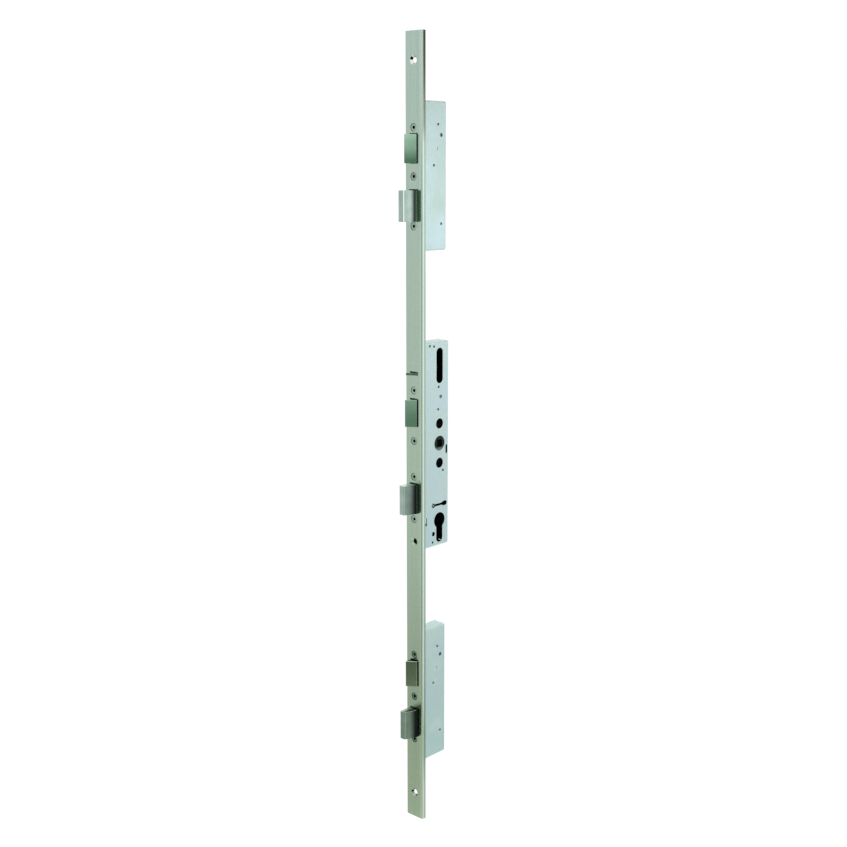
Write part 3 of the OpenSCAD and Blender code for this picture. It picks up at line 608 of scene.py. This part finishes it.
finishes = {
    "faceplate": brushedStainless("brushedFaceplate", faceplateFinish),
    "zinc": zincPlate("zincPlatedCase", zincFinish),
    "bolt": groundSteel("groundBoltSteel", boltFinish),
    "latch": groundSteel("sinteredLatchSteel", latchFinish),
    "trigger": groundSteel("stampedTriggerSteel", triggerFinish),
    "follower": groundSteel("castFollowerSteel", followerFinish),
    "black": groundSteel("blackenedSteel", blackFinish),
    "inner": groundSteel("darkDriveSteel", innerFinish),
    "bright": groundSteel("brightTurnedSteel", brightFinish),
    "screw": groundSteel("screwSteel", screwFinish),
    "rivet": groundSteel("rolledRivetSteel", rivetFinish),
    "spring": groundSteel("springWire", springFinish),
}
print("finishes built:", ", ".join(finishes))


# pieces made from a CAD node, with softened edges
def takeOver(obj, node, material=None):
    if material is not None:
        obj.data.materials.clear()
        obj.data.materials.append(material)
    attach(obj, bodyOfNode[node])
    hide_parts(node)


def evaluatedMesh(obj, name):
    depsgraph = bpy.context.evaluated_depsgraph_get()
    mesh = bpy.data.meshes.new_from_object(obj.evaluated_get(depsgraph))
    mesh.name = name
    return mesh


# lengths in metres and angles in degrees: edges over the edge angle are softened
softEdge = {"weld": 2e-6, "cutWeld": 1e-7, "flatAngle": 0.5, "edgeAngle": 28, "sharpAngle": 30, "steps": 2}


def weldedMesh(mesh):
    work = bmesh.new()
    work.from_mesh(mesh)
    bmesh.ops.remove_doubles(work, verts=work.verts, dist=softEdge["weld"])
    return work


def softenedCopy(node, piece, edgeWidth, cutHeights=()):
    # cutHeights splits long flat faces level with their holes, so that each stays a simple outline
    mesh = cadNodes[node].data.copy()
    mesh.materials.clear()
    if "custom_normal" in mesh.attributes:
        mesh.attributes.remove(mesh.attributes["custom_normal"])
    work = weldedMesh(mesh)
    flat = math.radians(softEdge["flatAngle"])
    bmesh.ops.dissolve_limit(work, angle_limit=flat, verts=work.verts, edges=work.edges)
    for height in cutHeights:
        bmesh.ops.bisect_plane(work, geom=[*work.verts, *work.edges, *work.faces], dist=softEdge["cutWeld"],
                               plane_co=(0, 0, height), plane_no=(0, 0, 1))
    layers = work.edges.layers.float
    weight = layers.get("bevel_weight_edge") or layers.new("bevel_weight_edge")
    limit = math.radians(softEdge["edgeAngle"])
    for edge in work.edges:
        if len(edge.link_faces) == 2 and edge.is_convex and edge.calc_face_angle() > limit:
            edge[weight] = 1.0
    work.to_mesh(mesh)
    work.free()
    mesh.shade_smooth()
    mesh.set_sharp_from_angle(angle=math.radians(softEdge["sharpAngle"]))
    obj = bpy.data.objects.new(piece, mesh)
    scene.collection.objects.link(obj)
    # two empty slots, so that the second can mark the faces of the softened edges
    mesh.materials.append(None)
    mesh.materials.append(None)
    bevel = obj.modifiers.new("softEdge", "BEVEL")
    bevel.width, bevel.segments = edgeWidth, softEdge["steps"]
    bevel.limit_method = "WEIGHT"
    bevel.material = 1
    bevel.use_clamp_overlap = True
    even = obj.modifiers.new("evenNormals", "WEIGHTED_NORMAL")
    even.keep_sharp = True
    plain = evaluatedMesh(obj, piece)
    rim = plain.attributes.new("rim", "FLOAT", "FACE")
    rim.data.foreach_set("value", [float(face.material_index == 1) for face in plain.polygons])
    for face in plain.polygons:
        face.material_index = 0
    obj.modifiers.clear()
    obj.data = plain
    return obj


def looseBoxes(node):
    # box of each separate body in a CAD node
    work = weldedMesh(cadNodes[node].data)
    left, boxes = set(work.verts), []
    while left:
        todo, found = [left.pop()], []
        while todo:
            corner = todo.pop()
            found.append(corner.co.copy())
            for edge in corner.link_edges:
                other = edge.other_vert(corner)
                if other in left:
                    left.remove(other)
                    todo.append(other)
        boxes.append((Vector(map(min, zip(*found))), Vector(map(max, zip(*found)))))
    work.free()
    return sorted(boxes, key=lambda box: (round(box[0].z, 5), round(box[0].y, 5)))


def middleHeight(node):
    low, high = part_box(node)
    return (low[2] + high[2]) / 2


# pieces that each of the three cases has, and pieces of which there is one
casePieces = {
    "case_tray": {"piece": "Tray", "edge": 0.0002, "slot": "zinc_case", "finish": "zinc"},
    "case_cover": {"piece": "Cover", "edge": 0.0002, "slot": "zinc_case", "finish": "zinc"},
    "bolt": {"piece": "BoltGround", "edge": 0.0004, "slot": "bolt_steel", "finish": "bolt"},
    "latch": {"piece": "LatchBevel", "edge": 0.0004, "slot": "bolt_steel", "finish": "latch"},
}
softPieces = {
    "faceplate": {"piece": "brushedFaceplate", "edge": 0.00025, "slot": "faceplate_steel",
                  "finish": "faceplate"},
    **{f"{side}_{part}": {**made, "piece": side + made["piece"]}
       for part, made in casePieces.items() for side in caseSides},
    "trigger": {"piece": "triggerTongue", "edge": 0.0003, "slot": "bolt_steel", "finish": "trigger"},
    "follower": {"piece": "handleFollower", "edge": 0.0003, "slot": "mechanism_steel",
                 "finish": "follower"},
    "main_bolt_pin": {"piece": "mainBoltGuidePin", "edge": 0.0003, "slot": "bright_steel",
                      "finish": "bright"},
    "return_plunger": {"piece": "returnPlunger", "edge": 0.0002, "slot": "bolt_steel", "finish": "black"},
}

screwBoxes = {side: looseBoxes(side + "_case_screws") for side in caseSides}
screwSpots = [(low + high) / 2 for boxes in screwBoxes.values() for low, high in boxes]
endHoles = mounts["faceplate_fixing"]["dims"]["spacing_y_mm"] / 2000
cylinderScrew = mounts["cylinder_screw_hole"]["pos_m"][2]
plateCuts = [spot.z for spot in screwSpots] + [endHoles, -endHoles, cylinderScrew]
for side in caseSides:
    plateCuts += [middleHeight(side + "_bolt"), middleHeight(side + "_latch")]

softMade = {}
for node, made in softPieces.items():
    cuts = plateCuts if node == "faceplate" else ()
    softMade[node] = softenedCopy(node, made["piece"], made["edge"], cuts)
    takeOver(softMade[node], node, finishes[made["finish"]])
print("softened pieces:", len(softPieces))

# places where the finishes change: reaches in metres, limits for the normal of a face, and parts of
# the end holes with painted shadow, in degrees
plateMarks = {
    "holeReach": 0.006,
    "screwReach": 0.0046,
    "grimeFacing": (-0.98, 0.5),
    "shadowTop": ((120, 172),),
    "shadowBottom": ((90, 125), (150, 195), (285, 335)),
    "sunkFacing": (-0.95, -0.3),
    "highlightLevels": {"top": 1.0, "bottom": 0.2, "cylinderScrew": 0.10},
}
caseMarks = {"skin": 0.0009, "margin": 0.0015, "wallFacing": 0.4, "coverFacing": 0.5}
topFacing = 0.7
glintFacing = (0.15, 0.97)

# rise gives the painted light of a latch at its foot and its head, and the second entry a painted highlight
# on upper edges
paintedLightPieces = {
    "main_latch": {"rise": (0.3, 1.0), "upperEdgeGlint": 0.3},
    "upper_latch": {"rise": (-0.2, 1.0), "upperEdgeGlint": 0.0},
    "lower_latch": {"rise": (1.0, 0.25), "upperEdgeGlint": 0.9},
    "lower_bolt": {"upperEdgeGlint": 0.8},
}


def faceMask(mesh, name, test):
    layer = mesh.attributes.new(name, "FLOAT", "FACE")
    layer.data.foreach_set("value", [float(test(face.center, face.normal)) for face in mesh.polygons])


def riseMask(mesh, foot, head):
    # goes evenly from one level at the foot of a piece to another at its head
    heights = [corner.co.z for corner in mesh.vertices]
    low, high = min(heights), max(heights)
    layer = mesh.attributes.new("rise", "FLOAT", "POINT")
    layer.data.foreach_set("value", [foot + (head - foot) * (z - low) / (high - low) for z in heights])


def within(level, limits):
    return limits[0] < level < limits[1]


def nearScrew(spot, reach):
    return any(math.hypot(spot.x - screw.x, spot.z - screw.z) < reach for screw in screwSpots)


def onHole(spot, height):
    return abs(spot.x) < plateMarks["holeReach"] and abs(spot.z - height) < plateMarks["holeReach"]


def shadowedEnd(spot):
    # parts of an end hole's countersink that carry painted shadow, as turns from +X
    height = math.copysign(endHoles, spot.z)
    turn = math.degrees(math.atan2(spot.z - height, spot.x)) % 360
    shadowed = plateMarks["shadowTop" if spot.z > 0 else "shadowBottom"]
    return onHole(spot, height) and any(within(turn, limits) for limits in shadowed)


def paintedHighlight(spot):
    # how bright the painted highlight in a countersink of the plate is
    highlightLevels = plateMarks["highlightLevels"]
    if onHole(spot, math.copysign(endHoles, spot.z)):
        return highlightLevels["top" if spot.z > 0 else "bottom"]
    return highlightLevels["cylinderScrew"] if onHole(spot, cylinderScrew) else 0


def markPlate(mesh):
    # painted shadow in the countersinks by the case screws and in parts of the end holes
    def grime(spot, normal):
        shadowed = nearScrew(spot, plateMarks["screwReach"]) or shadowedEnd(spot)
        return shadowed and within(normal.y, plateMarks["grimeFacing"])

    # a painted highlight in the countersinks of the end holes and the cylinder screw hole
    def sunk(spot, normal):
        return paintedHighlight(spot) if within(normal.y, plateMarks["sunkFacing"]) else 0

    faceMask(mesh, "grime", grime)
    faceMask(mesh, "sunk", sunk)


def markCase(side):
    low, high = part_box(side + "_case_tray")
    skin, margin = caseMarks["skin"], caseMarks["margin"]

    def holeWall(spot, normal):
        return (abs(normal.x) < caseMarks["wallFacing"]
                and within(spot.y, (low[1] + margin, high[1] - margin))
                and within(spot.z, (low[2] + margin, high[2] - margin)))

    def trayInside(spot, normal):
        inside = spot.x < high[0] - skin and spot.y < high[1] - skin
        return inside and within(spot.z, (low[2] + skin, high[2] - skin)) or holeWall(spot, normal)

    def coverInside(spot, normal):
        # only the main case has openings that show the inner face of its cover
        return side == "main" and normal.x > caseMarks["coverFacing"] or holeWall(spot, normal)

    # inner faces, which the zinc paints near black as a greasy interior with painted shade
    faceMask(softMade[side + "_case_tray"].data, "inside", trayInside)
    faceMask(softMade[side + "_case_cover"].data, "inside", coverInside)


def markTop(mesh):
    # top faces, which the bolt, latch and trigger finishes paint lighter as lit
    faceMask(mesh, "top", lambda spot, normal: normal.z > topFacing)


def markPaintedLight(mesh, lightMarks):
    if "rise" in lightMarks:
        riseMask(mesh, *lightMarks["rise"])
    faceMask(mesh, "upperEdgeGlint", lambda spot, normal: lightMarks["upperEdgeGlint"] * within(normal.z, glintFacing))


markPlate(softMade["faceplate"].data)
for side in caseSides:
    markCase(side)
    markTop(softMade[side + "_bolt"].data)
    markTop(softMade[side + "_latch"].data)
markTop(softMade["trigger"].data)
for node, lightMarks in paintedLightPieces.items():
    markPaintedLight(softMade[node].data, lightMarks)
print("face masks made")

# repeated pieces, grown with geometry nodes
grownSharpAngle = 32


def growthTree(name, inputs):
    inputs = {"Places": "Geometry", **inputs, "Material": "Material"}
    return newGroup(name, inputs, ("Geometry",), "GeometryNodeTree")


def finishTree(tree, take, give, geometry):
    whole = wired(tree, "GeometryNodeRealizeInstances", {"Geometry": geometry})
    painted = wired(tree, "GeometryNodeSetMaterial", {"Geometry": whole, "Material": take["Material"]})
    feed(tree, give["Geometry"], painted)
    return tree


def times(tree, value, factor):
    return mathNode(tree, "MULTIPLY", value, factor)


def lifted(tree, shape, height):
    return wired(tree, "GeometryNodeTransform",
                 {"Geometry": shape, "Translation": vectorNode(tree, 0, 0, height)})


def placeParts(tree):
    place = addNode(tree, "GeometryNodeInputPosition").outputs[0]
    return addNode(tree, "ShaderNodeSeparateXYZ", {0: place}).outputs


screwShape = {
    "Head Width": 0.0074, "Shank Width": 0.004, "Length": 0.012,
    "Socket Width": 0.0034, "Socket Depth": 0.0016, "Mouth": 0.0002,
}
screwSides = {"head": 48, "shank": 32, "socket": 6, "mouth": 32}
screwMarks = {"socketReach": 0.0017, "below": 0.0001}
screwSeed = 7


def buildScrewTree():
    # countersunk screw along -Z below its head, with a hexagon socket and a turned mouth
    tree, take, give = growthTree("countersunkScrew", {**screwShape, "Seed": "Int"})
    headRadius = times(tree, take["Head Width"], 0.5)
    shankRadius = times(tree, take["Shank Width"], 0.5)
    headDepth = mathNode(tree, "SUBTRACT", headRadius, shankRadius)
    head = wired(tree, "GeometryNodeMeshCone", {
        "Radius Top": headRadius, "Radius Bottom": shankRadius, "Depth": headDepth,
        "Vertices": screwSides["head"]})
    head = lifted(tree, head, times(tree, headDepth, -1.0))
    shankDepth = mathNode(tree, "SUBTRACT", take["Length"], times(tree, headDepth, 0.5))
    shank = wired(tree, "GeometryNodeMeshCylinder", {
        "Radius": shankRadius, "Depth": shankDepth, "Vertices": screwSides["shank"]})
    shank = lifted(tree, shank, mathNode(tree, "SUBTRACT", times(tree, shankDepth, 0.5), take["Length"]))
    body = addNode(tree, "GeometryNodeMeshBoolean", {1: head}, operation="UNION", solver="EXACT")
    feed(tree, body.inputs[1], shank)
    socketRadius = times(tree, take["Socket Width"], 0.5)
    socket = wired(tree, "GeometryNodeMeshCylinder", {
        "Radius": socketRadius, "Depth": times(tree, take["Socket Depth"], 2.0),
        "Vertices": screwSides["socket"]})
    mouthRadius = mathNode(tree, "ADD", socketRadius, take["Mouth"])
    mouth = wired(tree, "GeometryNodeMeshCone", {
        "Radius Top": mathNode(tree, "ADD", mouthRadius, take["Mouth"]),
        "Radius Bottom": mathNode(tree, "SUBTRACT", socketRadius, take["Mouth"]),
        "Depth": times(tree, take["Mouth"], 3.0), "Vertices": screwSides["mouth"]})
    mouth = lifted(tree, mouth, times(tree, take["Mouth"], -1.5))
    cut = addNode(tree, "GeometryNodeMeshBoolean", {0: body.outputs[0], 1: socket},
                  operation="DIFFERENCE", solver="EXACT")
    feed(tree, cut.inputs[1], mouth)
    placed = wired(tree, "GeometryNodeInstanceOnPoints", {
        "Points": take["Places"], "Instance": cut.outputs[0], "Rotation": (math.pi / 2, 0, 0)})
    # input 3 and output 1 of a random value are its highest number and its number
    spin = addNode(tree, "FunctionNodeRandomValue", {3: math.pi / 3, "Seed": take["Seed"]},
                   data_type="FLOAT")
    turned = wired(tree, "GeometryNodeRotateInstances", {
        "Instances": placed, "Rotation": vectorNode(tree, 0, 0, spin.outputs[1]), "Local Space": True})
    return finishTree(tree, take, give, turned)


# the relief of a rivet's head is given for a width of 1: its shoulder and its hollow each rise between two
# radii, the hollow from its floor, painted shade fills the hollow, and the outer side lies above the middle
rivetShape = {"Half Thickness": 0.0075, "Head Height": 0.0003, "Rim": 0.0004}
rivetRelief = {"shoulder": (0.5, 0.42), "hollow": (0.20, 0.38), "floor": 0.1, "shadowed": (0.25, 0.9),
               "above": 0.001}
rivetSides = {"around": 28, "rings": 18}


def buildRivetTree():
    # rivet across a case: a shank and a rolled head with a hollow centre on each side
    tree, take, give = growthTree("rolledRivet", rivetShape)
    width = wired(tree, "GeometryNodeInputNamedAttribute", {"Name": "headWidth"}, data_type="FLOAT")
    ball = wired(tree, "GeometryNodeMeshUVSphere", {
        "Segments": rivetSides["around"], "Rings": rivetSides["rings"], "Radius": 0.5})
    x, y, z = placeParts(tree)
    away = mathNode(tree, "SQRT", mathNode(tree, "ADD", times(tree, x, x), times(tree, y, y)))
    above = mathNode(tree, "GREATER_THAN", z, rivetRelief["above"])
    shoulder = rangeNode(tree, away, *rivetRelief["shoulder"], smooth=True)
    hollow = rangeNode(tree, away, *rivetRelief["hollow"], rivetRelief["floor"], 1.0, smooth=True)
    rise = times(tree, times(tree, shoulder, hollow), take["Head Height"])
    head = wired(tree, "GeometryNodeSetPosition", {
        "Geometry": ball, "Position": vectorNode(tree, x, y, times(tree, rise, above))})
    # painted shade in the hollow of each head
    dark = times(tree, rangeNode(tree, hollow, *rivetRelief["shadowed"], 1.0, 0.0), above)
    head = wired(tree, "GeometryNodeStoreNamedAttribute", {
        "Geometry": head, "Name": "grime", "Value": dark}, data_type="FLOAT", domain="POINT")
    shank = wired(tree, "GeometryNodeMeshCylinder", {
        "Radius": 0.5, "Depth": times(tree, take["Half Thickness"], 2.0), "Vertices": rivetSides["around"]})
    shankWidth = mathNode(tree, "SUBTRACT", width, times(tree, take["Rim"], 2.0))
    joined = addNode(tree, "GeometryNodeJoinGeometry")
    for way in (1.0, -1.0):
        offset = vectorNode(tree, times(tree, take["Half Thickness"], way), 0, 0)
        spots = wired(tree, "GeometryNodeSetPosition", {"Geometry": take["Places"], "Offset": offset})
        heads = wired(tree, "GeometryNodeInstanceOnPoints", {
            "Points": spots, "Instance": head, "Scale": vectorNode(tree, width, width, 1.0),
            "Rotation": (0, way * math.pi / 2, 0)})
        feed(tree, joined.inputs[0], heads)
    shanks = wired(tree, "GeometryNodeInstanceOnPoints", {
        "Points": take["Places"], "Instance": shank, "Scale": vectorNode(tree, shankWidth, shankWidth, 1.0),
        "Rotation": (0, math.pi / 2, 0)})
    feed(tree, joined.inputs[0], shanks)
    return finishTree(tree, take, give, joined.outputs[0])


springShape = {
    "Turns": 7.0, "Coil Radius": 0.0024, "Wire Radius": 0.0004, "Length": 0.0156, "Closing": 0.55,
}
springSides = {"turn": 28, "wire": 12}


def buildSpringTree():
    # wire coil along +Z from its foot, with closer turns at both ends
    tree, take, give = growthTree("woundSpring", {**springShape, "Foot": "Vector", "Turned": "Vector"})
    spiral = wired(tree, "GeometryNodeCurveSpiral", {
        "Rotations": take["Turns"], "Start Radius": take["Coil Radius"], "End Radius": take["Coil Radius"],
        "Height": take["Length"], "Resolution": springSides["turn"]})
    x, y = placeParts(tree)[:2]
    share = addNode(tree, "GeometryNodeSplineParameter").outputs["Factor"]
    wave = mathNode(tree, "SINE", times(tree, share, 2 * math.pi))
    wave = times(tree, times(tree, wave, take["Closing"]), 1 / (2 * math.pi))
    free = mathNode(tree, "SUBTRACT", take["Length"], times(tree, take["Wire Radius"], 2.0))
    height = times(tree, mathNode(tree, "SUBTRACT", share, wave), free)
    height = mathNode(tree, "ADD", height, take["Wire Radius"])
    path = wired(tree, "GeometryNodeSetPosition", {
        "Geometry": spiral, "Position": vectorNode(tree, x, y, height)})
    ring = wired(tree, "GeometryNodeCurvePrimitiveCircle", {
        "Radius": take["Wire Radius"], "Resolution": springSides["wire"]})
    wire = wired(tree, "GeometryNodeCurveToMesh", {"Curve": path, "Profile Curve": ring, "Fill Caps": True})
    moved = wired(tree, "GeometryNodeTransform", {
        "Geometry": wire, "Translation": take["Foot"], "Rotation": take["Turned"]})
    return finishTree(tree, take, give, moved)


def grow(tree, name, places, values, **perPlace):
    mesh = bpy.data.meshes.new(name)
    mesh.from_pydata(places, [], [])
    for key, data in perPlace.items():
        mesh.attributes.new(key, "FLOAT", "POINT").data.foreach_set("value", data)
    obj = bpy.data.objects.new(name, mesh)
    scene.collection.objects.link(obj)
    growth = obj.modifiers.new(name, "NODES")
    growth.node_group = tree
    for item in tree.interface.items_tree:
        if item.item_type == "SOCKET" and item.in_out == "INPUT" and item.name in values:
            growth[item.identifier] = values[item.name]
    grown = evaluatedMesh(obj, name)
    obj.modifiers.clear()
    obj.data = grown
    grown.shade_smooth()
    grown.set_sharp_from_angle(angle=math.radians(grownSharpAngle))
    return obj


def growScrews(side):
    boxes = screwBoxes[side]
    low, high = boxes[0]
    heads = [Vector(((low.x + high.x) / 2, low.y, (low.z + high.z) / 2)) for low, high in boxes]
    screws = grow(screwTree, side + "CountersunkScrews", heads, {
        "Head Width": high.x - low.x, "Length": high.y - low.y, "Seed": screwSeed + len(side),
        "Material": finishes["screw"]})
    front = heads[0].y + screwMarks["below"]
    # painted shade inside each screw's socket
    faceMask(screws.data, "grime",
             lambda spot, normal: nearScrew(spot, screwMarks["socketReach"]) and spot.y > front)
    takeOver(screws, side + "_case_screws")


def growRivets(side):
    boxes = looseBoxes(side + "_case_rivets")
    middles = [(low + high) / 2 for low, high in boxes]
    widths = [high.y - low.y for low, high in boxes]
    rivets = grow(rivetTree, side + "RolledRivets", middles, {"Material": finishes["rivet"]},
                  headWidth=widths)
    takeOver(rivets, side + "_case_rivets")


screwTree, rivetTree, springTree = buildScrewTree(), buildRivetTree(), buildSpringTree()
for side in caseSides:
    growScrews(side)
    growRivets(side)
print("screws and rivets grown")

# springs: the joint that presses each, the coil's axis and the end that stays put
springPieces = {
    **{side + "_latch_spring": {"piece": side + "LatchCoil", "joint": side + "_latch_slide", "axis": "Y",
                                "stays": "high", "turns": 7, "wire": 0.0004} for side in caseSides},
    "trigger_spring": {"piece": "triggerCoil", "joint": "trigger_slide", "axis": "Y",
                       "stays": "high", "turns": 5, "wire": 0.00025},
    "return_spring": {"piece": "returnCoil", "joint": "plunger_slide", "axis": "Z",
                      "stays": "low", "turns": 9, "wire": 0.00035},
}


def windSpring(node, made):
    low, high = (Vector(corner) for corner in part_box(node))
    along = "XYZ".index(made["axis"])
    length = high[along] - low[along]
    foot, anchor = (low + high) / 2, (low + high) / 2
    foot[along] = low[along]
    anchor[along] = high[along] if made["stays"] == "high" else low[along]
    coil = grow(springTree, made["piece"], [], {
        "Turns": float(made["turns"]), "Wire Radius": made["wire"], "Length": length, "Foot": foot,
        "Coil Radius": (high.x - low.x) / 2 - made["wire"],
        "Turned": (-math.pi / 2, 0, 0) if made["axis"] == "Y" else (0, 0, 0),
        "Material": finishes["spring"]})
    takeOver(coil, node)
    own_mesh(coil)


for node, made in springPieces.items():
    windSpring(node, made)
print("springs wound:", len(springPieces))

# inner pieces that keep their CAD mesh
keptPieces = {
    "inner": ["drive_lug"] + [side + part for part in ("_rail", "_drive_finger", "_front_plate")
                              for side in caseSides],
    "black": ["handle_sleeves"],
    "bright": ["return_spring_seat", "trigger_seat", "upper_bolt_guide", "lower_bolt_guide"]
    + [side + "_latch_seat" for side in caseSides],
}

for finish, names in keptPieces.items():
    for node in names:
        cadNodes[node].data.materials.clear()
        cadNodes[node].data.materials.append(finishes[finish])
print("inner pieces finished")
